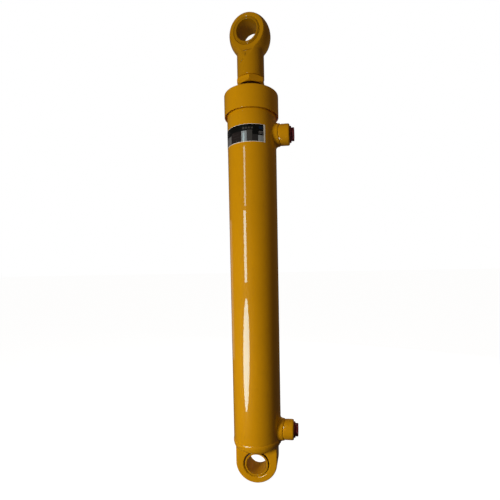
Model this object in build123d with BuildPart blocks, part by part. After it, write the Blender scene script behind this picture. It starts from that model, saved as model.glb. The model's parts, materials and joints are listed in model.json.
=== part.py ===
"""Double-acting hydraulic cylinder, 80 mm bore, 45 mm rod, 500 mm stroke, with an eye at each end.

Millimetres. The origin is the centre of the base eye's pin bore, +Z runs along the cylinder to the
rod eye, the base eye's pin lies along Y, and both ports face +X. The rod is fully retracted.
"""
from build123d import *
import os
from math import cos, radians, sin, sqrt

# Driving dimensions
bore_r = 40.0
barrel_r = 47.5
rod_r = 22.5
stroke = 500.0
eye_to_eye = 835.0
pin_r = 20.0

# Fits and gaps
running_gap = 0.05
thread_gap = 0.05
seat_gap = 0.02
stop_gap = 0.5
pick_gap = 0.01

# Eyes and their bushes
bush_r = 25.0
bush_nose_r = 23.3
bush_nose = 4.0
bush_edge = 0.5
bush_stand = 0.8
lug_thickness = 44.0
lug_half_width = 41.0
lug_round_z = 3.0
lug_top = 40.0
lug_edge = 2.2
lug_mouth_chamfer = 2.0
eye_turn = -9.0
eye_thickness = 44.0
eye_ball_r = 39.8
eye_ball_drop = 1.0
eye_mouth_chamfer = 1.5
shank_r = 26.2
shank_bottom = 752.5
shank_neck_r = 8.0
flat_start = 803.0
flat_run = 20.0
flat_runout = 0.5
shank_edge = 1.2
ball_z = eye_to_eye - eye_ball_drop
neck_z = ball_z - sqrt(eye_ball_r**2 - shank_r**2)

# Base end and its weld
base_face = 54.0
base_seat = 44.0
cone_apex_z = 7.3
cone_angle = 30.0
base_corner_r = 10.0
spigot_lead = 1.0
weld_depth = 4.0
weld_half = 2.5

# Barrel
barrel_top = 704.0
barrel_edge = 1.0
bore_lead = 1.5

# Ports
port_z = {"lower": 63.0, "upper": 645.0}
boss_r = 20.0
boss_face = 74.0
boss_chamfer = 2.6
boss_weld = 5.0
port_thread_r = 11.0
port_thread_depth = 18.0
port_mouth = 1.2
oil_hole_r = 7.0
oil_hole_start = 30.0
plug_shank = 12.0
plug_flange_r = 15.6
plug_flange = 3.2
plug_across_flats = 22.0
plug_head = 5.6
plug_socket_r = 8.0
plug_socket_depth = 14.0
plug_edge = 0.9

# Head: cap, guide sleeve and their seals
cap_r = 52.5
cap_bottom = 680.0
cap_top = 722.0
cap_roof = 712.0
cap_edge = 3.5
cap_foot_edge = 1.0
spanner_hole_r = 4.0
spanner_hole_depth = 6.0
spanner_circle_r = 40.0
wiper_seat_z = 714.0
wiper_r = 27.5
wiper_lip_top = 725.0
lock_screw_r = 3.0
lock_screw_z = 688.0
lock_screw_socket_r = 1.6
lock_screw_socket_depth = 3.0
sleeve_flange_r = 46.5
sleeve_shoulder = 655.0
sleeve_nose = 625.0
sleeve_nose_r = 34.0
sleeve_rod_gap = 0.5
guide_bush_r = 25.0
guide_bush_bottom = 660.0
guide_bush_top = 690.0
rod_seal_r = 27.5
rod_seal_bottom = 696.0
rod_seal_top = 706.0
sleeve_ring_floor = 36.0
sleeve_ring_bottom = 671.0
sleeve_ring_top = 678.5
sleeve_o_ring_lift = 2.3
backup_ring = 1.8

# Piston, its rings and its nut
piston_bottom = 74.0
piston_top = 124.0
piston_r = 39.6
piston_edge = 2.0
thread_r = 16.5
ring_side_gap = 0.1
piston_seal_floor = 32.5
piston_seal_width = 12.0
piston_seal_depth = 4.45
wear_ring_floor = 37.3
wear_ring_width = 10.0
wear_ring_offset = 14.0
wear_ring_split = 3.0
bore_ring_floor = 19.2
bore_ring_width = 4.0
bore_ring_z = 82.0
nut_across_flats = 50.0
piston_nut_height = 16.0
jam_nut_bottom = 740.0
jam_nut_turn = 1.5
nut_chamfer_angle = 30.0
nut_washer_face = 0.5

# Rod
rod_bottom = base_face + stop_gap
rod_shoulder = 731.0
rod_thread_top = 797.0
rod_edge = 1.5
thread_runout = 3.0

# Data label on the barrel
label_skin = 0.25
label_bottom = 619.5
label_height = 32.0
label_start_angle = -183.0
label_sweep = 132.5


def upright_plane(angle):
    """Half-plane through the Z axis at this angle from +X, with its own y along +Z."""
    c = cos(radians(angle))
    s = sin(radians(angle))
    return Plane(origin=(0, 0, 0), x_dir=(c, s, 0), z_dir=(s, -c, 0))


def side_plane(x, z):
    """Plane facing +X at this x, centred at this height."""
    return Plane(origin=(x, 0, z), x_dir=(0, 1, 0), z_dir=(1, 0, 0))


def back_plane(y, z):
    """Plane facing +Y at this y, centred at this height."""
    return Plane(origin=(0, y, z), x_dir=(1, 0, 0), z_dir=(0, 1, 0))


def eye_plane(z, turn):
    """Plane through the cylinder's axis that faces along an eye's pin, turned about Z."""
    c = cos(radians(turn))
    s = sin(radians(turn))
    return Plane(origin=(0, 0, z), x_dir=(c, s, 0), z_dir=(s, -c, 0))


def turned(outline):
    """Solid of revolution about Z from its half outline of (radius, height) points."""
    with BuildPart() as piece:
        with BuildSketch(Plane.XZ):
            with BuildLine():
                Polyline(*outline, close=True)
            make_face()
        revolve(axis=Axis.Z)
    return piece


def ring(inner_r, outer_r, bottom, top, edge=0.0):
    """Plain ring about Z, with its outer edges chamfered."""
    outline = [(inner_r, bottom), (outer_r - edge, bottom)]
    if edge:
        outline.append((outer_r, bottom + edge))
        outline.append((outer_r, top - edge))
    outline.append((outer_r - edge, top))
    outline.append((inner_r, top))
    return turned(outline)


def o_ring(inner_r, outer_r, z):
    """O-ring about Z that fills the gap between two radii."""
    section_r = (outer_r - inner_r) / 2
    with BuildPart() as piece:
        with BuildSketch(Plane.XZ):
            with Locations((inner_r + section_r, z)):
                Circle(section_r)
        revolve(axis=Axis.Z)
    return piece


def hex_nut(bottom, height, turn, chamfer_foot, chamfer_head):
    """Hexagon nut about Z on the rod's thread, its corners chamfered at either end."""
    corner_r = nut_across_flats / sqrt(3)
    flat_r = nut_across_flats / 2 - nut_washer_face
    drop = (corner_r - flat_r) * sin(radians(nut_chamfer_angle)) / cos(radians(nut_chamfer_angle))
    top = bottom + height
    outline = [(0, bottom)]
    if chamfer_foot:
        outline.append((flat_r, bottom))
        outline.append((corner_r, bottom + drop))
    else:
        outline.append((corner_r, bottom))
    if chamfer_head:
        outline.append((corner_r, top - drop))
        outline.append((flat_r, top))
    else:
        outline.append((corner_r, top))
    outline.append((0, top))
    with BuildPart() as piece:
        with BuildSketch(Plane.XY.offset(bottom)):
            RegularPolygon(nut_across_flats / 2, 6, major_radius=False, rotation=turn)
        extrude(amount=height)
        with BuildSketch(Plane.XZ):
            with BuildLine():
                Polyline(*outline, close=True)
            make_face()
        revolve(axis=Axis.Z, mode=Mode.INTERSECT)
        with BuildSketch(Plane.XY.offset(bottom)):
            Circle(thread_r + thread_gap)
        extrude(amount=height, mode=Mode.SUBTRACT)
    return piece


def eye_bush(z, turn, thickness):
    """Steel pin bush, its turned-down ends standing a little proud of both faces of its eye."""
    half = thickness / 2 + bush_stand
    with BuildPart() as piece:
        with BuildSketch(eye_plane(z, turn)):
            Circle(bush_r)
        extrude(amount=half - bush_nose, both=True)
        with BuildSketch(eye_plane(z, turn)):
            Circle(bush_nose_r)
        extrude(amount=half, both=True)
        rims = piece.edges().filter_by(GeomType.CIRCLE).filter_by(
            lambda e: abs(e.radius - bush_nose_r) < pick_gap)
        ends = rims.sort_by_distance((0, 0, z))[-2:]
        chamfer(ends, bush_edge)
        with BuildSketch(eye_plane(z, turn)):
            Circle(pin_r)
        extrude(amount=half, both=True, mode=Mode.SUBTRACT)
    return piece


def base_lug():
    """Flat lug with a round foot and rounded edges, before its bore is cut."""
    with BuildPart() as piece:
        with BuildSketch(eye_plane(0, 0)):
            with Locations((0, lug_round_z)):
                Circle(lug_half_width)
            with Locations((0, (lug_round_z + lug_top) / 2)):
                Rectangle(2 * lug_half_width, lug_top - lug_round_z)
        extrude(amount=lug_thickness / 2, both=True)
        rims = piece.faces().filter_by(Axis.Y).edges()
        fillet(rims.filter_by(lambda e: e.center().Z < lug_top - 1), lug_edge)
    return piece


def base_end():
    """Forged barrel bottom: spigot, weld shoulder, conical underside and the pin lug."""
    cone_rise = sin(radians(cone_angle)) / cos(radians(cone_angle))
    rim_z = cone_apex_z + barrel_r * cone_rise
    lug = base_lug()
    with BuildPart() as piece:
        with BuildSketch(Plane.XZ):
            with BuildLine():
                Polyline(
                    (0, cone_apex_z),
                    (barrel_r, rim_z),
                    (barrel_r, base_seat - weld_half),
                    (barrel_r - weld_depth, base_seat),
                    (bore_r - seat_gap, base_seat),
                    (bore_r - seat_gap, base_face - spigot_lead),
                    (bore_r - spigot_lead, base_face),
                    (0, base_face),
                    close=True,
                )
            make_face()
        revolve(axis=Axis.Z)
        rim = piece.edges().filter_by(GeomType.CIRCLE).filter_by(
            lambda e: abs(e.radius - barrel_r) < pick_gap and abs(e.arc_center.Z - rim_z) < pick_gap)
        fillet(rim, base_corner_r)
        add(lug)
        with BuildSketch(eye_plane(0, 0)):
            Circle(bush_r)
        extrude(amount=lug_thickness, both=True, mode=Mode.SUBTRACT)
        mouths = piece.edges().filter_by(GeomType.CIRCLE).filter_by(
            lambda e: abs(e.radius - bush_r) < pick_gap)
        chamfer(mouths, lug_mouth_chamfer)
    return piece


def base_weld():
    """Weld metal in the V groove between the base end and the barrel."""
    return turned([
        (barrel_r - weld_depth, base_seat),
        (barrel_r, base_seat - weld_half),
        (barrel_r, base_seat + weld_half),
    ])


def barrel_tube():
    """Honed steel tube with a weld bevel at its foot and an oil hole at each port."""
    with BuildPart() as piece:
        with BuildSketch(Plane.XZ):
            with BuildLine():
                Polyline(
                    (bore_r, base_seat),
                    (barrel_r - weld_depth, base_seat),
                    (barrel_r, base_seat + weld_half),
                    (barrel_r, barrel_top - barrel_edge),
                    (barrel_r - barrel_edge, barrel_top),
                    (bore_r + bore_lead, barrel_top),
                    (bore_r, barrel_top - 2 * bore_lead),
                    close=True,
                )
            make_face()
        revolve(axis=Axis.Z)
        for z in port_z.values():
            with BuildSketch(side_plane(oil_hole_start, z)):
                Circle(oil_hole_r)
            extrude(amount=boss_face - oil_hole_start, mode=Mode.SUBTRACT)
    return piece


def port_boss(z):
    """Round boss saddled on the barrel, threaded from its face and drilled on into the barrel."""
    with BuildPart() as piece:
        with BuildSketch(side_plane(oil_hole_start, z)):
            Circle(boss_r)
        extrude(amount=boss_face - oil_hole_start)
        chamfer(piece.faces().sort_by(Axis.X)[-1].edges(), boss_chamfer)
        with BuildSketch(Plane.XY.offset(z - 2 * boss_r)):
            Circle(barrel_r)
        extrude(amount=4 * boss_r, mode=Mode.SUBTRACT)
        with BuildSketch(side_plane(boss_face - port_thread_depth, z)):
            Circle(port_thread_r)
        extrude(amount=port_thread_depth, mode=Mode.SUBTRACT)
        with BuildSketch(side_plane(oil_hole_start, z)):
            Circle(oil_hole_r)
        extrude(amount=boss_face - oil_hole_start, mode=Mode.SUBTRACT)
        mouth = piece.faces().sort_by(Axis.X)[-1].edges().sort_by(SortBy.RADIUS)[0]
        chamfer(mouth, port_mouth)
    return piece


def port_weld(z):
    """Fillet weld round a port boss, following the barrel's curve."""
    with BuildPart() as piece:
        with BuildSketch(Plane(origin=(0, 0, z), x_dir=(1, 0, 0), z_dir=(0, -1, 0))):
            with BuildLine():
                reach = sqrt(barrel_r**2 - boss_r**2) - 1
                Polyline(
                    (reach - boss_weld, 0),
                    (reach - boss_weld, boss_r + boss_weld + 1),
                    (barrel_r - 2, boss_r + boss_weld),
                    (barrel_r + boss_weld - 1.5, boss_r),
                    (barrel_r + boss_weld - 1.5, 0),
                    close=True,
                )
            make_face()
        revolve(axis=Axis((0, 0, z), (1, 0, 0)))
        with BuildSketch(side_plane(oil_hole_start, z)):
            Circle(boss_r)
        extrude(amount=boss_face - oil_hole_start, mode=Mode.SUBTRACT)
        with BuildSketch(Plane.XY.offset(z - 2 * boss_r)):
            Circle(barrel_r)
        extrude(amount=4 * boss_r, mode=Mode.SUBTRACT)
    return piece


def port_plug(z):
    """Moulded plastic plug: hollow screw shank, round flange and hexagon head."""
    with BuildPart() as piece:
        with BuildSketch(side_plane(boss_face - plug_shank, z)):
            Circle(port_thread_r - thread_gap)
        extrude(amount=plug_shank)
        with BuildSketch(side_plane(boss_face, z)):
            Circle(plug_flange_r)
        extrude(amount=plug_flange)
        chamfer(piece.faces().sort_by(Axis.X)[-1].edges(), plug_edge)
        with BuildSketch(side_plane(boss_face + plug_flange, z)):
            RegularPolygon(plug_across_flats / 2, 6, major_radius=False, rotation=30)
        extrude(amount=plug_head)
        chamfer(piece.faces().sort_by(Axis.X)[-1].edges(), plug_edge)
        with BuildSketch(side_plane(boss_face + plug_flange + plug_head, z)):
            Circle(plug_socket_r)
        extrude(amount=-plug_socket_depth, mode=Mode.SUBTRACT)
    return piece


def data_label():
    """Thin printed label wrapped round the barrel, level with the upper port."""
    with BuildPart() as piece:
        with BuildSketch(upright_plane(label_start_angle)):
            with Locations((barrel_r + label_skin / 2, label_bottom + label_height / 2)):
                Rectangle(label_skin, label_height)
        revolve(axis=Axis.Z, revolution_arc=label_sweep)
    return piece


def head_cap():
    """Screwed cap over the barrel's end: clamps the guide sleeve and seats the wiper."""
    with BuildPart() as piece:
        with BuildSketch(Plane.XZ):
            with BuildLine():
                Polyline(
                    (barrel_r + thread_gap, cap_bottom),
                    (cap_r - cap_foot_edge, cap_bottom),
                    (cap_r, cap_bottom + cap_foot_edge),
                    (cap_r, cap_top),
                    (wiper_r, cap_top),
                    (wiper_r, wiper_seat_z),
                    (rod_r + 1, wiper_seat_z),
                    (rod_r + 1, cap_roof),
                    (barrel_r + thread_gap, cap_roof),
                    close=True,
                )
            make_face()
        revolve(axis=Axis.Z)
        crown = piece.edges().filter_by(GeomType.CIRCLE).filter_by(
            lambda e: abs(e.arc_center.Z - cap_top) < pick_gap)
        fillet(crown.sort_by(SortBy.RADIUS)[-1], cap_edge)
        with BuildSketch(Plane.XY.offset(cap_top)):
            with PolarLocations(spanner_circle_r, 4, start_angle=45):
                Circle(spanner_hole_r)
        extrude(amount=-spanner_hole_depth, mode=Mode.SUBTRACT)
        with BuildSketch(back_plane(0, lock_screw_z)):
            Circle(lock_screw_r + seat_gap)
        extrude(amount=cap_r + 1, mode=Mode.SUBTRACT)
    return piece


def cap_lock_screw():
    """Socket set screw through the cap's skirt that stops the cap from turning."""
    screw_seat = barrel_r + running_gap
    screw_face = cap_r - stop_gap
    with BuildPart() as piece:
        with BuildSketch(back_plane(screw_seat, lock_screw_z)):
            Circle(lock_screw_r)
        extrude(amount=screw_face - screw_seat)
        with BuildSketch(back_plane(screw_face, lock_screw_z)):
            RegularPolygon(lock_screw_socket_r, 6)
        extrude(amount=-lock_screw_socket_depth, mode=Mode.SUBTRACT)
    return piece


def guide_sleeve():
    """Cast-iron sleeve that guides the rod, with its seal grooves and a nose that clears the port."""
    sleeve_r = bore_r - seat_gap
    bore = rod_r + sleeve_rod_gap
    return turned([
        (bore, sleeve_nose),
        (sleeve_nose_r - 1, sleeve_nose),
        (sleeve_nose_r, sleeve_nose + 1),
        (sleeve_nose_r, sleeve_shoulder),
        (sleeve_r - 1.5, sleeve_shoulder),
        (sleeve_r, sleeve_shoulder + 3),
        (sleeve_r, sleeve_ring_bottom),
        (sleeve_ring_floor, sleeve_ring_bottom),
        (sleeve_ring_floor, sleeve_ring_top),
        (sleeve_r, sleeve_ring_top),
        (sleeve_r, barrel_top),
        (sleeve_flange_r, barrel_top),
        (sleeve_flange_r, cap_roof),
        (bore, cap_roof),
        (bore, rod_seal_top),
        (rod_seal_r, rod_seal_top),
        (rod_seal_r, rod_seal_bottom),
        (bore, rod_seal_bottom),
        (bore, guide_bush_top),
        (guide_bush_r, guide_bush_top),
        (guide_bush_r, guide_bush_bottom),
        (bore, guide_bush_bottom),
    ])


def sleeve_o_ring():
    """O-ring that seals the sleeve in the barrel's bore."""
    inner = sleeve_ring_floor + seat_gap
    outer = bore_r - seat_gap
    return o_ring(inner, outer, sleeve_ring_bottom + sleeve_o_ring_lift)


def sleeve_backup_ring():
    """Flat ring behind the sleeve's O-ring, on the side away from the oil."""
    top = sleeve_ring_top - ring_side_gap
    return ring(sleeve_ring_floor + seat_gap, bore_r - seat_gap, top - backup_ring, top)


def rod_guide_bush():
    """Bronze bush in the sleeve that the rod slides in."""
    bottom = guide_bush_bottom + ring_side_gap
    top = guide_bush_top - ring_side_gap
    return ring(rod_r + running_gap, guide_bush_r - seat_gap, bottom, top)


def rod_seal():
    """U-cup rod seal with its open side towards the oil."""
    seal_inner = rod_r + running_gap
    middle = (seal_inner + rod_seal_r) / 2
    bottom = rod_seal_bottom + ring_side_gap
    top = rod_seal_top - ring_side_gap
    return turned([
        (seal_inner, bottom + 0.8),
        (seal_inner + 0.8, bottom),
        (middle, bottom + 3.5),
        (rod_seal_r - 0.8, bottom),
        (rod_seal_r - seat_gap, bottom + 0.8),
        (rod_seal_r - seat_gap, top),
        (seal_inner, top),
    ])


def wiper_seal():
    """Wiper pressed into the cap, its lip standing above the cap's face."""
    wiper_inner = rod_r + running_gap
    return turned([
        (wiper_inner + 1.2, wiper_seat_z),
        (wiper_r - seat_gap, wiper_seat_z),
        (wiper_r - seat_gap, cap_top - 0.4),
        (wiper_r - 1.6, cap_top),
        (wiper_inner + 1.6, wiper_lip_top),
        (wiper_inner, wiper_lip_top - 0.8),
        (wiper_inner, wiper_lip_top - 3),
        (wiper_inner + 1.2, cap_top - 2),
    ])


def piston():
    """Piston with a centre seal groove, two wear-ring grooves and a sealed bore on the rod."""
    middle = (piston_bottom + piston_top) / 2
    bore = thread_r + thread_gap
    outline = [(bore, piston_bottom), (piston_r - piston_edge, piston_bottom)]
    outline.append((piston_r, piston_bottom + piston_edge))
    for centre, width, floor in (
        (middle - wear_ring_offset, wear_ring_width, wear_ring_floor),
        (middle, piston_seal_width, piston_seal_floor),
        (middle + wear_ring_offset, wear_ring_width, wear_ring_floor),
    ):
        low = centre - width / 2
        high = centre + width / 2
        outline += [(piston_r, low), (floor, low), (floor, high), (piston_r, high)]
    outline.append((piston_r, piston_top - piston_edge))
    outline.append((piston_r - piston_edge, piston_top))
    outline.append((bore, piston_top))
    ring_low = bore_ring_z - bore_ring_width / 2
    ring_high = bore_ring_z + bore_ring_width / 2
    outline += [(bore, ring_high), (bore_ring_floor, ring_high)]
    outline += [(bore_ring_floor, ring_low), (bore, ring_low)]
    return turned(outline)


def piston_seal():
    """PTFE-faced slide ring of the piston seal."""
    middle = (piston_bottom + piston_top) / 2
    half = piston_seal_width / 2 - ring_side_gap
    outer = bore_r - running_gap
    return ring(outer - piston_seal_depth, outer, middle - half, middle + half, edge=0.6)


def piston_seal_energiser():
    """Rubber O-ring that presses the slide ring outwards."""
    middle = (piston_bottom + piston_top) / 2
    inner = piston_seal_floor + running_gap
    outer = bore_r - running_gap - piston_seal_depth
    return o_ring(inner, outer, middle)


def wear_ring(offset):
    """Split phenolic guide strip in its piston groove."""
    middle = (piston_bottom + piston_top) / 2 + offset
    half = wear_ring_width / 2 - ring_side_gap
    inner = wear_ring_floor + running_gap
    outer = bore_r - running_gap
    with BuildPart() as piece:
        with BuildSketch(Plane.XZ):
            with Locations(((inner + outer) / 2, middle)):
                Rectangle(outer - inner, 2 * half)
        revolve(axis=Axis.Z)
        with BuildSketch(Plane.XY.offset(middle - half)):
            with Locations((0, (inner + outer) / 2)):
                Rectangle(wear_ring_split, 2 * (outer - inner))
        extrude(amount=2 * half, mode=Mode.SUBTRACT)
    return piece


def piston_rod():
    """Chromed rod with a turned-down, threaded spigot at each end."""
    return turned([
        (0, rod_bottom),
        (thread_r - rod_edge, rod_bottom),
        (thread_r, rod_bottom + rod_edge),
        (thread_r, piston_top),
        (rod_r, piston_top),
        (rod_r, rod_shoulder - rod_edge),
        (rod_r - rod_edge, rod_shoulder),
        (thread_r, rod_shoulder),
        (thread_r, rod_thread_top - rod_edge),
        (thread_r - rod_edge, rod_thread_top),
        (0, rod_thread_top),
    ])


def eye_blank():
    """Turned blank of the rod eye: shank, blended neck and ball."""
    with BuildPart() as piece:
        with BuildSketch(upright_plane(eye_turn)) as half:
            with Locations((0, ball_z)):
                Circle(eye_ball_r)
            with Locations((shank_r / 2, (shank_bottom + ball_z) / 2)):
                Rectangle(shank_r, ball_z - shank_bottom)
            with Locations((-eye_ball_r, ball_z)):
                Rectangle(2 * eye_ball_r, 2 * eye_ball_r, mode=Mode.SUBTRACT)
            neck = half.vertices().filter_by(lambda v: abs(v.Y - neck_z) < shank_edge)
            fillet(neck, shank_neck_r)
        revolve(axis=Axis.Z)
        chamfer(piece.faces().sort_by(Axis.Z)[0].edges(), shank_edge)
    return piece


def rod_eye():
    """Forged rod eye: round shank, ball-shaped head with two flats, pin bore and rod thread."""
    face = eye_thickness / 2
    blank = eye_blank()
    across = eye_plane(0, eye_turn)
    side = Plane(origin=(0, 0, 0), x_dir=across.z_dir, z_dir=across.x_dir * -1)
    with BuildPart() as piece:
        add(blank)
        for sign in (-1, 1):
            with BuildSketch(side):
                with BuildLine():
                    Polyline(
                        (sign * face, flat_start),
                        (sign * face, eye_to_eye + 2 * face),
                        (sign * 2 * face, eye_to_eye + 2 * face),
                        (sign * 2 * face, flat_start - flat_run),
                        (sign * (shank_r + flat_runout), flat_start - flat_run),
                        close=True,
                    )
                make_face()
            extrude(amount=2 * eye_ball_r, both=True, mode=Mode.SUBTRACT)
        with BuildSketch(Plane.XY.offset(shank_bottom)):
            Circle(thread_r + thread_gap)
        extrude(amount=rod_thread_top + thread_runout - shank_bottom, mode=Mode.SUBTRACT)
        with BuildSketch(eye_plane(eye_to_eye, eye_turn)):
            Circle(bush_r)
        extrude(amount=eye_thickness, both=True, mode=Mode.SUBTRACT)
        mouths = piece.edges().filter_by(GeomType.CIRCLE).filter_by(
            lambda e: abs(e.radius - bush_r) < pick_gap)
        chamfer(mouths, eye_mouth_chamfer)
    return piece


def save(piece, name):
    """Label a finished piece and write it as its own STEP file."""
    piece.part.label = name
    export_step(piece.part, f"parts/{name}.step")


os.makedirs("parts", exist_ok=True)

# Barrel assembly
save(barrel_tube(), "barrel_tube")
save(base_end(), "base_end")
save(base_weld(), "base_weld")
save(eye_bush(0, 0, lug_thickness), "base_eye_bush")
save(data_label(), "data_label")
for side, height in port_z.items():
    save(port_boss(height), f"{side}_port_boss")
    save(port_weld(height), f"{side}_port_weld")
    save(port_plug(height), f"{side}_port_plug")

# Head assembly
save(head_cap(), "head_cap")
save(cap_lock_screw(), "cap_lock_screw")
save(guide_sleeve(), "guide_sleeve")
save(sleeve_o_ring(), "sleeve_o_ring")
save(sleeve_backup_ring(), "sleeve_backup_ring")
save(rod_guide_bush(), "rod_guide_bush")
save(rod_seal(), "rod_seal")
save(wiper_seal(), "wiper_seal")

# Rings carried by the piston
save(piston_seal(), "piston_seal")
save(piston_seal_energiser(), "piston_seal_energiser")
save(wear_ring(-wear_ring_offset), "lower_wear_ring")
save(wear_ring(wear_ring_offset), "upper_wear_ring")

# Rod assembly
save(piston_rod(), "piston_rod")
save(piston(), "piston")
save(o_ring(thread_r + seat_gap, bore_ring_floor - seat_gap, bore_ring_z), "piston_bore_o_ring")
save(hex_nut(piston_bottom - piston_nut_height, piston_nut_height, 0, True, False), "piston_nut")
save(hex_nut(jam_nut_bottom, shank_bottom - jam_nut_bottom, -90 + jam_nut_turn, True, True), "jam_nut")
save(rod_eye(), "rod_eye")
save(eye_bush(eye_to_eye, eye_turn, eye_thickness), "rod_eye_bush")

print("closed length between pins", eye_to_eye, "open length", eye_to_eye + stroke)
print("piston to sleeve at full stroke", sleeve_nose - piston_top - stroke)
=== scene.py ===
"""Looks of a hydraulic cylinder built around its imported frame. Metres, in the frame's own axes."""
import json
from math import cos, exp, floor, log, pi, radians, sin, sqrt, tan

import bmesh
import bpy
import numpy as np
from mathutils import Matrix, Vector

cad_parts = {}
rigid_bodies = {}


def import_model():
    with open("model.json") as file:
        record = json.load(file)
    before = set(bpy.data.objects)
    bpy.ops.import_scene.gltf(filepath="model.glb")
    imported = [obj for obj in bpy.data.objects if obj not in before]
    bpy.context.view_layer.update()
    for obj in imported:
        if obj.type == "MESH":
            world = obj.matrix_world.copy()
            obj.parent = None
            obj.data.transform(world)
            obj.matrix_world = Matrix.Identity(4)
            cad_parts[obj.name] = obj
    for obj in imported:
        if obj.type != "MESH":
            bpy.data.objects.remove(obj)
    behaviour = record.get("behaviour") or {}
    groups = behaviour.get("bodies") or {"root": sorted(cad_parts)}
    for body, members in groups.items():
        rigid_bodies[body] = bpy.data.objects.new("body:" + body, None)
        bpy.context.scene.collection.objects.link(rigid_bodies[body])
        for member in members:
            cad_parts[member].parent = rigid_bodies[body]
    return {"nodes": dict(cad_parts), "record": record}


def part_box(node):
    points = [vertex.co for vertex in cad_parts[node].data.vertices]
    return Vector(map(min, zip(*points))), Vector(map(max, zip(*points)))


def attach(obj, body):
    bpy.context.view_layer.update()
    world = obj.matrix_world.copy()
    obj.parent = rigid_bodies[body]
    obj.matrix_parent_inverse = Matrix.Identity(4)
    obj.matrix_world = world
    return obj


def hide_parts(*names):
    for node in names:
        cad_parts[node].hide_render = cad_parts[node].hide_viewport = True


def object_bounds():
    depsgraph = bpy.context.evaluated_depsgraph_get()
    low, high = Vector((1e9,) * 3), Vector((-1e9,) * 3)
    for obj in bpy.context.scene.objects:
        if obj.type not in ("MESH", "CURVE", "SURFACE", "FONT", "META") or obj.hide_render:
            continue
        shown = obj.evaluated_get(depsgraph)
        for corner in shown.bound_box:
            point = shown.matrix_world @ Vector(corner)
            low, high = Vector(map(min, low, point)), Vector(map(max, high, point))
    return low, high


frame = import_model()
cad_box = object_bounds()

MM = 0.001
FIT = 0.05 * MM          # how far touching pieces are set apart, or into each other
PAST = 3 * MM            # how far a drill runs out of what it cuts
CORNER = 35.0            # degrees; a steeper fold between two faces is shaded as a sharp edge
NODES = frame["nodes"]
MOUNTS = {mount["name"]: mount for mount in frame["record"]["mounts"]}
SCENE = bpy.context.scene


# ---------------------------------------------------------------- measures

def low(node):
    """Lowest corner of a CAD node."""
    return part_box(node)[0]


def high(node):
    """Highest corner of a CAD node."""
    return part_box(node)[1]


BARREL_R = high("barrel_tube").x
BARREL_FOOT = low("barrel_tube").z
BARREL_TOP = high("barrel_tube").z
BORE_R = high("piston_seal").x + FIT
CAP_R = high("head_cap").x
CAP_LOW = low("head_cap").z
CAP_HIGH = high("head_cap").z
WIPER_R = high("wiper_seal").x
ROD_R = 22.5 * MM
ROD_FOOT = low("piston_rod").z
ROD_HEAD = high("piston_rod").z
ROD_SHOULDER = CAP_HIGH + 9 * MM
THREAD_R = 16.5 * MM
THREAD_PITCH = 2.0 * MM
PISTON_TOP = high("piston").z
PIN_R = MOUNTS["base_eye"]["dims"]["r_mm"] * MM
BUSH_R = high("base_eye_bush").x
BUSH_HALF = high("base_eye_bush").y
BOSS_R = high("upper_port_boss").y
BOSS_NECK_R = BOSS_R - 0.5 * MM
BOSS_FACE = MOUNTS["upper_port"]["pos_m"][0]
PORT_R = MOUNTS["upper_port"]["dims"]["r_mm"] * MM
PORT_DEPTH = MOUNTS["upper_port"]["dims"]["length_mm"] * MM
PORT_HEIGHTS = {side: MOUNTS[f"{side}_port"]["pos_m"][2] for side in ("lower", "upper")}
PLUG_FLANGE_R = high("upper_port_plug").y
PLUG_TIP = high("upper_port_plug").x
PLUG_FOOT = low("upper_port_plug").x
ROOT_GAP = 4 * MM         # depth of the weld groove at the barrel's foot
OIL_HOLE_R = 7 * MM       # from each port into the bore
BUSH_NOSE_R = 23.3 * MM   # turned-down ends of both pin bushes


# ---------------------------------------------------------------- mesh helpers

def new_object(name, verts, faces, body, replaced=(), sharp=CORNER):
    """Mesh object in the frame, smooth apart from its real corners, riding on a body."""
    mesh = bpy.data.meshes.new(name)
    mesh.from_pydata([tuple(v) for v in verts], [], faces)
    mesh.validate()
    piece = bpy.data.objects.new(name, mesh)
    SCENE.collection.objects.link(piece)
    finish_mesh(piece, sharp)
    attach(piece, body)
    if replaced:
        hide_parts(*replaced)
    return piece


def shade_smooth(mesh):
    """Smooth shading on every face."""
    mesh.polygons.foreach_set("use_smooth", [True] * len(mesh.polygons))


def finish_mesh(piece, sharp=CORNER):
    """Outward normals, smooth shading with sharp corners, and an edge-wear attribute."""
    work = bmesh.new()
    work.from_mesh(piece.data)
    bmesh.ops.remove_doubles(work, verts=work.verts, dist=1e-7)
    bmesh.ops.recalc_face_normals(work, faces=work.faces)
    work.to_mesh(piece.data)
    work.free()
    shade_smooth(piece.data)
    piece.data.set_sharp_from_angle(angle=radians(sharp))
    mark_edges(piece.data)


def mark_edges(mesh):
    """Stores how much each vertex stands out from its neighbours, from 0 on flats to 1 on edges."""
    gain = 1.4
    flat = 0.25
    count = len(mesh.vertices)
    places = np.zeros(count * 3)
    normals = np.zeros(count * 3)
    pairs = np.zeros(len(mesh.edges) * 2, np.int32)
    mesh.vertices.foreach_get("co", places)
    mesh.vertex_normals.foreach_get("vector", normals)
    mesh.edges.foreach_get("vertices", pairs)
    places = places.reshape(-1, 3)
    normals = normals.reshape(-1, 3)
    pairs = pairs.reshape(-1, 2)
    total = np.zeros(count)
    for a, b in ((0, 1), (1, 0)):
        step = places[pairs[:, b]] - places[pairs[:, a]]
        length = np.maximum(np.linalg.norm(step, axis=1), 1e-9)
        fall = -(step * normals[pairs[:, a]]).sum(1) / length
        np.add.at(total, pairs[:, a], np.maximum(fall, 0))
    layer = mesh.attributes.new("edge", "FLOAT", "POINT")
    layer.data.foreach_set("value", np.clip(total * gain - flat, 0, 1).astype(np.float32))


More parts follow.
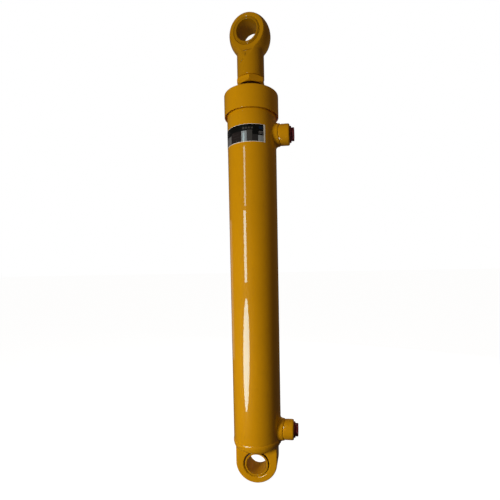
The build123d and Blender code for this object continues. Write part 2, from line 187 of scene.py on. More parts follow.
def rounded(points, steps=4):
    """Closed outline of (a, b, radius) corners with each corner rounded to its own radius."""
    line = []
    for i, (a, b, radius) in enumerate(points):
        here = Vector((a, b))
        if radius <= 0:
            line.append(tuple(here))
            continue
        back = Vector(points[i - 1][:2]) - here
        ahead = Vector(points[(i + 1) % len(points)][:2]) - here
        half = back.angle(ahead) / 2
        reach = min(radius / tan(half), 0.49 * back.length, 0.49 * ahead.length)
        start = here + back.normalized() * reach
        end = here + ahead.normalized() * reach
        for k in range(steps + 1):
            t = k / steps
            line.append(tuple(start * (1 - t) ** 2 + here * 2 * t * (1 - t) + end * t**2))
    return line


def spun(outline_at, turns, place):
    """Closed solid swept round an axis: outline_at(angle) gives its (along, out) points."""
    verts = []
    for angle in turns:
        verts += [place(along, out, angle) for along, out in outline_at(angle)]
    rows = len(turns)
    size = len(verts) // rows
    faces = []
    for i in range(rows):
        j = (i + 1) % rows
        for k in range(size):
            m = (k + 1) % size
            faces.append((i * size + k, j * size + k, j * size + m, i * size + m))
    return verts, faces


def even_turns(count):
    """Evenly spaced angles over a full turn."""
    return [2 * pi * i / count for i in range(count)]


def about_z(along, out, angle):
    """Place for a piece turned about the cylinder's own axis."""
    return Vector((out * cos(angle), out * sin(angle), along))


def about_port(height):
    """Place function for a piece turned about a port's axis."""
    return lambda along, out, angle: Vector((along, out * cos(angle), height + out * sin(angle)))


def about_pin(mount):
    """Place function for a piece turned about an eye's pin axis."""
    centre = Vector(MOUNTS[mount]["pos_m"])
    axis = Vector(MOUNTS[mount]["axis"]).normalized()
    side = Vector((0, 0, 1)).cross(axis).normalized()
    return lambda along, out, angle: (
        centre + axis * along + side * out * cos(angle) + Vector((0, 0, out * sin(angle))))


def evaluated(piece):
    """The piece's mesh with its modifiers applied, which are then removed."""
    bpy.context.view_layer.update()
    result = bpy.data.meshes.new_from_object(piece.evaluated_get(bpy.context.evaluated_depsgraph_get()))
    old = piece.data
    piece.modifiers.clear()
    piece.data = result
    bpy.data.meshes.remove(old)


def drilled(piece, holes):
    """Cuts straight round holes, each (start, end, radius), out of a piece."""
    sides = 64
    for start, end, radius in holes:
        aim = (end - start).to_track_quat("Z", "Y").to_matrix().to_4x4()
        ring = [Vector((radius * cos(a), radius * sin(a), 0)) for a in even_turns(sides)]
        verts = [Matrix.Translation(place) @ aim @ v for place in (start, end) for v in ring]
        faces = [tuple(reversed(range(sides))), tuple(range(sides, 2 * sides))]
        faces += [(i, (i + 1) % sides, sides + (i + 1) % sides, sides + i) for i in range(sides)]
        mesh = bpy.data.meshes.new("drill")
        mesh.from_pydata(verts, [], faces)
        drill = bpy.data.objects.new("drill", mesh)
        SCENE.collection.objects.link(drill)
        cut = piece.modifiers.new("hole", "BOOLEAN")
        cut.operation = "DIFFERENCE"
        cut.solver = "EXACT"
        cut.object = drill
        evaluated(piece)
        bpy.data.objects.remove(drill)
    finish_mesh(piece)


def softened(node, name, body, voxel):
    """Forged look of a CAD node: the same shape with its corners rounded as forging and paint do."""
    piece = bpy.data.objects.new(name, NODES[node].data.copy())
    piece.data.materials.clear()
    SCENE.collection.objects.link(piece)
    remesh = piece.modifiers.new("remesh", "REMESH")
    remesh.mode = "VOXEL"
    remesh.voxel_size = voxel
    smooth = piece.modifiers.new("smooth", "SMOOTH")
    smooth.factor = 0.5
    smooth.iterations = 3
    evaluated(piece)
    shade_smooth(piece.data)
    mark_edges(piece.data)
    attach(piece, body)
    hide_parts(node)
    return piece


# ---------------------------------------------------------------- materials

class Shader:
    """One material's nodes, with short ways to add noise, ramps and bumps."""

    def __init__(self, name):
        self.material = bpy.data.materials.new(name)
        self.material.use_nodes = True
        self.tree = self.material.node_tree
        self.surface = self.tree.nodes["Principled BSDF"]
        self.place = self.add("ShaderNodeTexCoord").outputs["Object"]
        self.normal = None

    def add(self, kind, **values):
        node = self.tree.nodes.new(kind)
        for key, value in values.items():
            setattr(node, key, value)
        return node

    def link(self, source, target):
        self.tree.links.new(source, target)

    def fixed(self, **values):
        for key, value in values.items():
            self.surface.inputs[key.replace("_", " ")].default_value = value

    def noise(self, scale, detail=3.0, stretch=(1, 1, 1), roughness=0.5):
        mapping = self.add("ShaderNodeMapping")
        mapping.inputs["Scale"].default_value = stretch
        self.link(self.place, mapping.inputs["Vector"])
        node = self.add("ShaderNodeTexNoise")
        node.inputs["Scale"].default_value = scale
        node.inputs["Detail"].default_value = detail
        node.inputs["Roughness"].default_value = roughness
        self.link(mapping.outputs["Vector"], node.inputs["Vector"])
        return node.outputs["Fac"]

    def attribute(self, name):
        node = self.add("ShaderNodeAttribute")
        node.attribute_name = name
        return node.outputs["Fac"]

    def spread(self, value, a, b, c, d):
        """Maps a value from the range a to b onto the range c to d."""
        node = self.add("ShaderNodeMapRange")
        node.inputs["From Min"].default_value = a
        node.inputs["From Max"].default_value = b
        node.inputs["To Min"].default_value = c
        node.inputs["To Max"].default_value = d
        self.link(value, node.inputs["Value"])
        return node.outputs["Result"]

    def times(self, a, b):
        node = self.add("ShaderNodeMath", operation="MULTIPLY")
        self.link(a, node.inputs[0])
        self.link(b, node.inputs[1])
        return node.outputs[0]

    def mix(self, amount, a, b):
        """Colour between a and b; each is a colour or another colour output."""
        node = self.add("ShaderNodeMix", data_type="RGBA")
        self.link(amount, node.inputs["Factor"])
        for value, name in ((a, "A"), (b, "B")):
            socket = [s for s in node.inputs if s.name == name and s.type == "RGBA"][0]
            if isinstance(value, tuple):
                socket.default_value = (*value, 1)
            else:
                self.link(value, socket)
        return [s for s in node.outputs if s.type == "RGBA"][0]

    def colour(self, value):
        self.link(value, self.surface.inputs["Base Color"])

    def rough(self, value):
        self.link(value, self.surface.inputs["Roughness"])

    def bump(self, height, depth):
        node = self.add("ShaderNodeBump")
        node.inputs["Distance"].default_value = depth
        node.inputs["Strength"].default_value = 1.0
        self.link(height, node.inputs["Height"])
        if self.normal is not None:
            self.link(self.normal, node.inputs["Normal"])
        self.normal = node.outputs["Normal"]

    def done(self):
        if self.normal is not None:
            self.link(self.normal, self.surface.inputs["Normal"])
        return self.material


def enamel(name, base, dull):
    """Sprayed machine enamel: slight tone drift, orange peel, dust specks and worn edges."""
    wear = 0.4
    s = Shader(name)
    s.fixed(Coat_Weight=1.0, Coat_Roughness=0.045, Coat_IOR=1.52, Specular_IOR_Level=0.05)
    tone = s.spread(s.noise(7, detail=2), 0.3, 0.7, 0, 1)
    body = s.mix(tone, base, tuple(c * 0.93 for c in base))
    film = s.spread(s.noise(60, detail=6, roughness=0.7), 0.52, 0.8, 0, 0.35)
    body = s.mix(film, body, tuple(c * 0.80 for c in base))
    speck = s.spread(s.noise(520, detail=2), 0.76, 0.80, 0, 0.5)
    body = s.mix(speck, body, tuple(c * 0.55 for c in base))
    chips = s.spread(s.noise(330, detail=5, roughness=0.7), 0.60, 0.66, 0, 1)
    worn = s.times(s.spread(s.attribute("edge"), 0.35, 0.9, 0, wear), chips)
    s.colour(s.mix(worn, body, (0.30, 0.22, 0.13)))
    s.rough(s.spread(s.noise(90, detail=5), 0.3, 0.7, dull - 0.06, dull + 0.08))
    s.bump(s.noise(420, detail=2), 0.000012)
    s.bump(s.noise(150, detail=2), 0.00006)
    s.bump(s.noise(26, detail=1), 0.00010)
    return s.done()


def bare_metal(name, base, roughness, stretch, lines):
    """Machined metal with fine tool lines and a thin oil film."""
    s = Shader(name)
    s.fixed(Metallic=1.0, Coat_Weight=0.25, Coat_Roughness=0.2)
    film = s.spread(s.noise(24, detail=4), 0.35, 0.7, 0, 1)
    s.colour(s.mix(film, base, tuple(c * 0.82 for c in base)))
    s.rough(s.spread(s.noise(140, detail=4, stretch=stretch), 0.3, 0.7, roughness * 0.7, roughness * 1.4))
    s.bump(s.noise(lines, detail=2, stretch=stretch), 0.00001)
    return s.done()


def hard_chrome():
    """Ground chrome: satin and bright, with faint grinding rings and a wiped oil film."""
    s = Shader("hard_chrome")
    s.fixed(Metallic=0.5)    # full metal would mirror the unlit studio and come out nearly black
    film = s.spread(s.noise(11, detail=4, stretch=(1, 1, 0.35)), 0.4, 0.75, 0, 1)
    s.colour(s.mix(film, (0.80, 0.81, 0.83), (0.70, 0.71, 0.71)))
    s.rough(s.spread(s.noise(30, detail=5, stretch=(1, 1, 14)), 0.3, 0.7, 0.10, 0.20))
    s.bump(s.noise(60, detail=3, stretch=(1, 1, 40)), 0.000002)
    return s.done()


def overspray_and_painted_shade():
    """Dark, thinly dusted steel, for faces that the spray hardly reaches; its darkness is also painted shade
    on those faces.
    """
    s = Shader("overspray_and_painted_shade")
    bloom = s.spread(s.noise(180, detail=5), 0.4, 0.75, 0, 1)
    s.colour(s.mix(bloom, (0.070, 0.020, 0.001), (0.120, 0.040, 0.002)))
    s.rough(s.spread(s.noise(240, detail=4), 0.3, 0.7, 0.55, 0.75))
    s.bump(s.noise(800, detail=3), 0.00002)
    return s.done()


def moulded(name, base, roughness, grain):
    """Moulded plastic or rubber: fine mould grain, handling haze and paler edges."""
    s = Shader(name)
    haze = s.spread(s.noise(120, detail=5), 0.4, 0.75, 0, 0.6)
    body = s.mix(haze, base, tuple(min(1, c * 1.5 + 0.004) for c in base))
    edge = s.spread(s.attribute("edge"), 0.3, 1, 0, 0.5)
    s.colour(s.mix(edge, body, tuple(min(1, c * 2.0 + 0.01) for c in base)))
    s.rough(s.spread(s.noise(200, detail=4), 0.3, 0.7, roughness - 0.06, roughness + 0.10))
    s.bump(s.noise(grain, detail=3), 0.00003)
    return s.done()


def printed(name, base):
    """Ink on laminated film: slight mottling under a clear glossy skin."""
    s = Shader(name)
    s.fixed(Coat_Weight=0.9, Coat_Roughness=0.06, Specular_IOR_Level=0.1)
    mottle = s.spread(s.noise(260, detail=5), 0.35, 0.7, 0, 1)
    body = s.mix(mottle, base, tuple(c * 0.86 for c in base))
    scuff = s.spread(s.noise(70, detail=6, stretch=(1, 1, 3)), 0.62, 0.75, 0, 0.06)
    s.colour(s.mix(scuff, body, (0.35, 0.34, 0.32)))
    s.rough(s.spread(s.noise(90, detail=3), 0.3, 0.7, 0.30, 0.42))
    s.bump(s.noise(150, detail=2), 0.00002)
    return s.done()


AMBER = (0.67, 0.294, 0.0005)
PAINT = enamel("yellow_enamel", AMBER, 0.42)
# a darker copy of the yellow enamel on the rod eye: painted shade for the dimmer light at the cylinder's top
EYE_ENAMEL_PAINTED_SHADE = enamel("rod_end_enamel_painted_shade", tuple(c * 0.76 for c in AMBER), 0.46)
# the lower bush's darker enamel is partly thin overspray, partly painted shade in its bore
BUSH_OVERSPRAY_AND_SHADE = enamel("bush_overspray_and_shade", tuple(c * 0.84 for c in AMBER), 0.50)
# the rod eye's bush is darker still: partly overspray, partly painted shade in its bore
EYE_BUSH_OVERSPRAY_AND_SHADE = enamel("rod_bush_overspray_and_shade", tuple(c * 0.58 for c in AMBER), 0.50)
# the die marks' dark enamel is painted shade: a dark line along each raised mark
MARK_PAINTED_SHADE = enamel("die_mark_painted_shade", tuple(c * 0.42 for c in AMBER), 0.60)
CHROME = hard_chrome()
STEEL = bare_metal("turned_steel", (0.52, 0.51, 0.49), 0.30, (1, 1, 10), 500)
IRON = bare_metal("machined_iron", (0.22, 0.22, 0.22), 0.42, (1, 1, 8), 700)
BRONZE = bare_metal("guide_bronze", (0.60, 0.40, 0.18), 0.28, (1, 1, 8), 500)
# thin overspray whose dark colour is also painted shade: under the nut, in the lower bush's grooves and on
# the rod's exposed thread
OVERSPRAY_AND_SHADE = overspray_and_painted_shade()
RUBBER = moulded("black_rubber", (0.018, 0.018, 0.018), 0.55, 900)
SEAL_BLUE = moulded("blue_polyurethane", (0.03, 0.09, 0.24), 0.40, 700)
PTFE = moulded("filled_ptfe", (0.10, 0.075, 0.05), 0.45, 800)
PHENOLIC = moulded("phenolic_strip", (0.26, 0.12, 0.05), 0.50, 1200)
RED = moulded("red_plastic", (0.135, 0.013, 0.014), 0.38, 600)


# ---------------------------------------------------------------- barrel

def barrel_tube():
    """Drawn tube with a beveled foot, open at both ends, and an oil hole at each port."""
    bevel = 2.5 * MM
    outline = rounded([
        (BARREL_FOOT, BORE_R, 0), (BARREL_FOOT, BARREL_R - ROOT_GAP, 0),
        (BARREL_FOOT + bevel, BARREL_R, 0.2 * MM), (BARREL_TOP, BARREL_R, 1 * MM),
        (BARREL_TOP, BORE_R, 1.2 * MM),
    ])
    verts, faces = spun(lambda angle: outline, even_turns(192), about_z)
    piece = new_object("barrel_tube_painted", verts, faces, "barrel", ("barrel_tube",))
    inside = BORE_R - 8 * MM
    outside = BARREL_R + PAST
    drilled(piece, [(Vector((inside, 0, h)), Vector((outside, 0, h)), OIL_HOLE_R)
                    for h in PORT_HEIGHTS.values()])
    return piece


def base_weld():
    """Low weld crown between the tube and the forged end, wider than its CAD solid."""
    seat = (low("base_weld").z + high("base_weld").z) / 2
    half = (high("base_weld").z - low("base_weld").z) * 0.8
    steps = 12

    def outline(angle):
        crown = (0.85 + 0.07 * sin(angle * 61) + 0.10 * sin(angle * 3 + 1)) * MM
        rim = []
        for k in range(steps + 1):
            arc = pi * k / steps
            rim.append((seat + half * cos(arc), BARREL_R - FIT + crown * sin(arc)))
        return rim + [(seat, BARREL_R - ROOT_GAP)]

    verts, faces = spun(outline, even_turns(384), about_z)
    return new_object("base_weld_bead", verts, faces, "barrel", ("base_weld",))


def eye_bush(mount, body, nose):
    """Pin bush with turned-down ends, standing a little out of its eye."""
    step = BUSH_HALF - nose
    outline = rounded([
        (-BUSH_HALF, PIN_R, 0.45 * MM), (-BUSH_HALF, BUSH_NOSE_R, 0.5 * MM), (-step, BUSH_NOSE_R, 0.2 * MM),
        (-step, BUSH_R, 0.1 * MM), (step, BUSH_R, 0.1 * MM), (step, BUSH_NOSE_R, 0.2 * MM),
        (BUSH_HALF, BUSH_NOSE_R, 0.5 * MM), (BUSH_HALF, PIN_R, 0.45 * MM),
    ])
    verts, faces = spun(lambda angle: outline, even_turns(144), about_pin(mount))
    return new_object(f"{mount}_bush_fitted", verts, faces, body, (f"{mount}_bush",))


# ---------------------------------------------------------------- ports

def saddle(out, angle):
    """How far out the barrel's surface is, under a point beside a port's axis."""
    return sqrt(max(BARREL_R**2 - (out * cos(angle)) ** 2, 0))


def port_boss(side):
    """Turned boss saddled on the barrel: necked at its weld, rounded outside, its mouth countersunk."""
    step = BOSS_FACE - PORT_DEPTH
    sink = 1.2 * MM
    half_way = 13 * MM
    neck_top = 9.2 * MM
    shoulder = 11.6 * MM

    def outline(angle):
        foot = saddle(BOSS_R, angle)
        return rounded([
            (BOSS_FACE, BOSS_R, 3.4 * MM), (BOSS_FACE, PORT_R + sink, 0.3 * MM),
            (BOSS_FACE - sink, PORT_R, 0.2 * MM), (step, PORT_R, 0), (step, OIL_HOLE_R, 0.3 * MM),
            (saddle(OIL_HOLE_R, angle), OIL_HOLE_R, 0), (saddle(half_way, angle), half_way, 0),
            (foot, BOSS_NECK_R, 0), (foot + neck_top, BOSS_NECK_R, 0.8 * MM),
            (foot + shoulder, BOSS_R, 1.5 * MM),
        ])

    verts, faces = spun(outline, even_turns(128), about_port(PORT_HEIGHTS[side]))
    return new_object(f"{side}_port_boss_painted", verts, faces, "barrel",
                      (f"{side}_port_boss",))


def port_weld(side):
    """Hand-laid weld, hollow at its foot and rolled over at its top, with its ripples."""
    reach = 4.2 * MM
    side_reach = 3.2 * MM
    climb = 9.0 * MM
    lip = 2.0 * MM
    ripples = 44
    steps = 24

    def outline(angle):
        wave = 0.5 + 0.5 * cos(angle * ripples + 0.6 * sin(3 * angle))
        swell = 1.0 + 0.05 * sin(2 * angle + 0.7) + 0.03 * sin(7 * angle)
        spread = reach + side_reach * sin(angle) ** 2
        line = []
        for k in range(steps + 1):
            t = sin(k / steps * pi / 2)
            roll = lip * sqrt(1 - t**14) * (0.88 + 0.12 * wave)
            out = BOSS_NECK_R + spread * swell * (1 - t) ** 2.2 + roll * t**0.7
            rise = climb * swell * t**1.7 - 0.12 * MM * (1 - t)
            line.append((saddle(min(out, BARREL_R), angle) + rise, out))
        return line + [(saddle(BOSS_R, angle) - 0.15 * MM, BOSS_NECK_R - FIT)]

    verts, faces = spun(outline, even_turns(528), about_port(PORT_HEIGHTS[side]))
    return new_object(f"{side}_port_weld_bead", verts, faces, "barrel",
                      (f"{side}_port_weld",), 60)


def hexagon(angle, apothem, sharpness=90):
    """Distance from the centre to a hexagon's side, with slightly rounded corners."""
    total = sum(max(cos(angle - k * pi / 3), 0) ** sharpness for k in range(6))
    return apothem / total ** (1 / sharpness)


def hexagon_turns(turn):
    """Angles round a hexagon, closer together at its corners."""
    marks = [0.0, 0.18, 0.34, 0.47, 0.58, 0.68, 0.77, 0.84, 0.89, 0.925, 0.95, 0.97, 0.985]
    side = [-m for m in reversed(marks[1:])] + marks + [1.0]
    return [turn + k * pi / 3 + m * pi / 6 for k in range(6) for m in side]


def soft_min(a, b, blend):
    """The smaller of two lengths, eased where they are nearly equal."""
    return -blend * log(exp(-(a - min(a, b)) / blend) + exp(-(b - min(a, b)) / blend)) + min(a, b)


def port_plug(side):
    """Moulded plug: shank, thin flange and hexagon head, with a ribbed socket sunk from its tip."""
    apothem = 11.0 * MM
    shank_r = PORT_R - 0.06 * MM
    flange_top = BOSS_FACE + 3.0 * MM
    socket_floor = PLUG_TIP - 14 * MM
    socket_r = 8 * MM
    draft = 0.4 * MM
    pinhole_r = 0.4 * MM
    lead = 0.7 * MM

    def outline(angle):
        head = hexagon(angle - pi / 2, apothem)
        return rounded([
            (PLUG_FOOT, PORT_R - 1 * MM, 0.3 * MM), (PLUG_FOOT + 1 * MM, shank_r, 0.3 * MM),
            (BOSS_FACE, shank_r, 0), (BOSS_FACE + FIT, PLUG_FLANGE_R, 0.5 * MM),
            (flange_top, PLUG_FLANGE_R - draft, 0.7 * MM), (flange_top, head, 0.5 * MM),
            (PLUG_TIP - lead, head, 0.3 * MM), (PLUG_TIP, head - lead, 0.3 * MM),
            (PLUG_TIP, socket_r, 0.4 * MM), (socket_floor, socket_r - draft, 0.6 * MM),
            (socket_floor, pinhole_r, 0), (PLUG_FOOT, pinhole_r, 0),
        ], steps=3)

    turns = [a + pi / 6 for a in hexagon_turns(pi / 3)]
    verts, faces = spun(outline, turns, about_port(PORT_HEIGHTS[side]))
    plug = new_object(f"{side}_port_plug_moulded", verts, faces, "barrel",
                      (f"{side}_port_plug",))
    for k in range(3):
        rib = plug_rib(side, k, socket_floor)
        rib.parent = plug
    return plug


def plug_rib(side, k, floor_x):
    """Thin stiffening web across the plug's socket."""
    angle = k * pi / 3
    across = Vector((0, cos(angle), sin(angle)))
    flat = Vector((0, -sin(angle), cos(angle)))
    centre = Vector((0, 0, PORT_HEIGHTS[side]))
    half_span = 7.75 * MM
    half_web = 0.5 * MM
    top = PLUG_TIP - 3.5 * MM
    verts = []
    for x, web in ((floor_x, half_web * 1.3), (top - 0.4 * MM, half_web), (top, half_web * 0.5)):
        for a, b in ((-1, -1), (1, -1), (1, 1), (-1, 1)):
            verts.append(centre + Vector((x, 0, 0)) + across * a * half_span + flat * b * web)
    faces = [(3, 2, 1, 0), (8, 9, 10, 11)]
    for row in (0, 4):
        for i in range(4):
            j = (i + 1) % 4
            faces.append((row + i, row + j, row + 4 + j, row + 4 + i))
    return new_object(f"{side}_plug_rib_{k}", verts, faces, "barrel")


# ---------------------------------------------------------------- head

def head_cap():
    """Screwed cap with a rounded crown edge, four pin-spanner holes and its lock screw's hole."""
    thread = BARREL_R + FIT
    wiper_seat = WIPER_R + 0.02 * MM
    rod_hole = ROD_R + 1 * MM
    spanner_circle = 40 * MM
    spanner_r = 4 * MM
    spanner_depth = 6 * MM
    screw_r = 3 * MM
    recess = 5.0 * MM
    rim = 1.1 * MM
    roof = BARREL_TOP + 8 * MM
    ledge = low("wiper_seal").z
    outline = rounded([
        (CAP_LOW + recess, thread, 0.3 * MM), (CAP_LOW + recess, CAP_R - rim, 0.3 * MM),
        (CAP_LOW, CAP_R - rim, 0.2 * MM), (CAP_LOW, CAP_R, 0.35 * MM), (CAP_HIGH, CAP_R, 3.5 * MM),
        (CAP_HIGH, wiper_seat, 0.4 * MM), (ledge, wiper_seat, 0), (ledge, rod_hole, 0.2 * MM),
        (roof, rod_hole, 0), (roof, thread, 0),
    ], steps=8)
    verts, faces = spun(lambda angle: outline, even_turns(192), about_z)
    piece = new_object("head_cap_painted", verts, faces, "barrel", ("head_cap",))
    holes = []
    for k in range(4):
        angle = radians(45 + 90 * k)
        centre = Vector((spanner_circle * cos(angle), spanner_circle * sin(angle), CAP_HIGH))
        holes.append((centre - Vector((0, 0, spanner_depth)), centre + Vector((0, 0, PAST)), spanner_r))
    level = low("cap_lock_screw").z + screw_r
    inside = Vector((0, BARREL_R - 2 * MM, level))
    holes.append((inside, Vector((0, CAP_R + PAST, level)), screw_r + FIT))
    drilled(piece, holes)
    return piece


# ---------------------------------------------------------------- rod end

def jam_nut():
    """Hexagon jam nut, chamfered top and bottom, on the rod's thread."""
    foot = low("jam_nut").z
    head = high("jam_nut").z
    apothem = 25.0 * MM
    slope = tan(radians(30))
    turn = radians(-88.5)    # one corner faces the front, 1.5 degrees towards the ports
    bore = THREAD_R + FIT
    lead = 0.8 * MM
    face_r = apothem - 0.6 * MM
    blend = 0.12 * MM
    levels = [0.0, 0.15, 0.35, 0.6, 0.9, 1.25, 1.6, 2.0, 2.5, 3.1, 4.0, 6.0]
    heights = [foot + v * MM for v in levels] + [head - v * MM for v in reversed(levels)]

    def outline(angle):
        side = hexagon(angle - turn - pi / 6, apothem, 160)
        line = [(foot + lead, bore), (foot, bore + lead)]
        for z in heights:
            cone = face_r + min(z - foot, head - z) / slope
            line.append((z, soft_min(side, cone, blend)))
        return line + [(head, bore + lead), (head - lead, bore)]

    verts, faces = spun(outline, hexagon_turns(turn + pi / 6), about_z)
    return new_object("jam_nut_painted", verts, faces, "rod", ("jam_nut",), 30)


def piston_rod():
    """Rod with its upper thread cut as a real helix and a plain lower end for the piston."""
    thread_foot = ROD_SHOULDER + 1.0 * MM
    depth = 1.1 * MM
    gap = 0.25 * MM
    count = int((ROD_HEAD - thread_foot) / gap) - 4
    rows = [thread_foot + gap * k for k in range(count)]

    def outline(angle):
        line = [(ROD_FOOT, 0), (ROD_FOOT, THREAD_R - 1.5 * MM), (ROD_FOOT + 1.5 * MM, THREAD_R)]
        line += [(PISTON_TOP, THREAD_R), (PISTON_TOP, ROD_R - 0.3 * MM), (PISTON_TOP + 0.3 * MM, ROD_R)]
        line += [(ROD_SHOULDER - 1.6 * MM, ROD_R), (ROD_SHOULDER - 1.3 * MM, ROD_R - 0.1 * MM)]
        line += [(ROD_SHOULDER - 0.1 * MM, ROD_R - 1.3 * MM), (ROD_SHOULDER, ROD_R - 1.6 * MM)]
        line += [(ROD_SHOULDER, THREAD_R - depth)]
        for z in rows:
            phase = (z - thread_foot) / THREAD_PITCH - angle / (2 * pi)
            tooth = abs((phase - floor(phase)) * 2 - 1)
            line.append((z, THREAD_R - depth * min(max((tooth - 0.08) * 1.25, 0), 1)))
        line += [(ROD_HEAD - 1.0 * MM, THREAD_R - depth), (ROD_HEAD, THREAD_R - 1.8 * MM), (ROD_HEAD, 0)]
        return line

    verts, faces = spun(outline, even_turns(144), about_z)
    return new_object("piston_rod_chromed", verts, faces, "rod", ("piston_rod",), 30)


def raised_line(name, start, end, height, width):
    """Low tapered ridge laid on the rod eye's painted skin between two points seen from the front."""
    eye = bpy.data.objects["rod_eye_forging"]
    run = end - start
    facing = Vector(MOUNTS["rod_eye"]["axis"]).normalized()
    facing = facing if facing.y > 0 else -facing
    section = ((-0.5, -0.5), (-0.5, 0.8), (-0.3, 1.0), (0.5, 0.5), (1, -0.5))
    size = len(section)
    steps = 24
    verts = []
    for i in range(steps + 1):
        t = i / steps
        _, place, normal, _ = eye.ray_cast(start + run * t - facing * 0.2, facing)
        side = normal.cross(run.normalized()).normalized()
        fade = sin(pi * t) ** 0.5 if 0 < t < 1 else 0.02
        for across, lift in section:
            verts.append(place + side * across * width / 2 * max(fade, 0.15) + normal * lift * height * fade)
    faces = [tuple(range(size)), tuple(reversed(range(steps * size, (steps + 1) * size)))]
    for i in range(steps):
        for k in range(size):
            m = (k + 1) % size
            faces.append((i * size + k, i * size + m, (i + 1) * size + m, (i + 1) * size + k))
    return new_object(name, verts, faces, "rod")


def casting_marks():
    """Flash line and small raised marks left by the forging die on the front of the rod eye's neck."""
    level = MOUNTS["rod_eye"]["pos_m"][2] - 37.5 * MM
    line = raised_line("rod_eye_flash_line", Vector((-9 * MM, 0, level)),
                       Vector((11 * MM, 0, level + 0.5 * MM)), 0.9 * MM, 2.6 * MM)
    nick = raised_line("rod_eye_die_mark", Vector((-2.5 * MM, 0, level - 11 * MM)),
                       Vector((-2.5 * MM, 0, level - 4.5 * MM)), 0.9 * MM, 1.8 * MM)
    hook = raised_line("rod_eye_die_hook", Vector((-13 * MM, 0, level - 21 * MM)),
                       Vector((-6 * MM, 0, level - 15 * MM)), 0.5 * MM, 1.6 * MM)
    return [line, nick, hook]


# ---------------------------------------------------------------- label

def arc_sheet(name, inner, outer, first, last, bottom, top, replaced=()):
    """Thin sheet bent round the barrel; angles run from the front towards the ports, in degrees."""
    steps = max(2, int(abs(last - first) / 1.5))
    verts = []
    for i in range(steps + 1):
        a = radians(first + (last - first) * i / steps)
        for r, z in ((inner, bottom), (outer, bottom), (outer, top), (inner, top)):
            verts.append((r * sin(a), -r * cos(a), z))
    faces = [(0, 1, 2, 3), (4 * steps + 3, 4 * steps + 2, 4 * steps + 1, 4 * steps)]
    for i in range(steps):
        for k in range(4):
            m = (k + 1) % 4
            faces.append((4 * i + k, 4 * i + 4 + k, 4 * i + 4 + m, 4 * i + m))
    return new_object(name, verts, faces, "barrel", replaced)


def data_label():
    """Laminated label with a pale margin and plain printed panels; one pale panel is partly a painted
    highlight.
    """
    bottom = low("data_label").z
    top = high("data_label").z
    skin = BARREL_R + 0.25 * MM
    first = -93.0
    last = 39.5
    film = arc_sheet("data_label_film", BARREL_R + 0.01 * MM, skin, first, last, bottom, top,
                     ("data_label",))
    film.data.materials.append(printed("label_margin", (0.95, 0.92, 0.82)))
    inks = {
        "black": (0.005, 0.005, 0.004), "brown": (0.022, 0.016, 0.014), "grey": (0.062, 0.057, 0.050),
        "pale": (0.30, 0.32, 0.32), "navy": (0.008, 0.018, 0.045), "mid": (0.16, 0.15, 0.14),
        "faint": (0.036, 0.030, 0.027), "dim": (0.030, 0.027, 0.025),
    }
    panels = [
        ("field", "black", first + 1, 35.5, 0.025, 0.985),
        ("left_panel", "mid", -91.0, -45.0, 0.04, 0.50),
        ("wide_panel", "brown", -43.5, -16.0, 0.04, 0.62),
        # this pale panel is partly print and partly a painted highlight of a lamp's streak on the film
        ("pale_panel", "pale", -15.5, -3.0, 0.03, 0.62),
        ("grey_panel", "grey", -2.5, 9.5, 0.06, 0.66),
        ("low_panel", "dim", 10.0, 21.5, 0.05, 0.40),
        ("dark_panel", "navy", 24.5, 34.0, 0.72, 0.88),
        ("mark_panel", "mid", 24.0, 34.5, 0.45, 0.60),
        ("pale_corner", "pale", 22.5, 35.0, 0.03, 0.37),
    ]
    panels += [(f"heading_{k}", "grey", -13 + 6.5 * k, -8.5 + 6.5 * k, 0.72, 0.82) for k in range(4)]
    for k in range(3):
        panels.append((f"line_{k}", "faint", -88, -52 + 3 * (k % 2), 0.60 + 0.1 * k, 0.635 + 0.1 * k))
    for k in range(3):
        panels.append((f"row_{k}", "faint", -40, -22 + 2 * (k % 2), 0.14 + 0.15 * k, 0.17 + 0.15 * k))
    panels += [(f"tick_{k}", "black", 25.5 + 3.2 * k, 27.2 + 3.2 * k, 0.47, 0.55) for k in range(3)]
    lifts = {"field": 0.03 * MM, "tick": 0.08 * MM, "row": 0.08 * MM}
    height = top - bottom
    materials = {ink: printed(f"label_{ink}", colour) for ink, colour in inks.items()}
    for name, ink, a, b, low_part, high_part in panels:
        lift = lifts.get(name.split("_")[0], 0.055 * MM)
        panel = arc_sheet(f"label_{name}", skin, skin + lift, a, b, bottom + height * low_part,
                          bottom + height * high_part)
        panel.data.materials.append(materials[ink])


# ---------------------------------------------------------------- build

def dress(piece, material):
    """Gives a piece, and what is parented to it, one material."""
    piece.data.materials.clear()
    piece.data.materials.append(material)
    for child in piece.children:
        dress(child, material)


def overspray_and_shade_on(piece, shaded_and_hardly_sprayed):
    """Gives the faces that the spray hardly reaches a thin, dark overspray, whose darkness is also painted
    shade there.
    """
    piece.data.materials.append(OVERSPRAY_AND_SHADE)
    for face in piece.data.polygons:
        if shaded_and_hardly_sprayed(face):
            face.material_index = 1


def under_nut(face):
    """Faces on the nut's underside or in its bore."""
    return face.normal.z < -0.95 or face.normal.xy.dot(face.center.xy) < 0


def in_bush_groove(face):
    """Faces round a bush's turned-down ends, in the groove behind the rims that the spray reached, where
    shade falls.
    """
    return face.center.xz.length > PIN_R + 2.5 * MM and abs(face.center.y) < BUSH_HALF - 0.3 * MM


def above_chrome(face):
    """Faces on the rod's shoulder and thread, past the end of its chrome."""
    return face.center.z > ROD_SHOULDER - 2 * MM


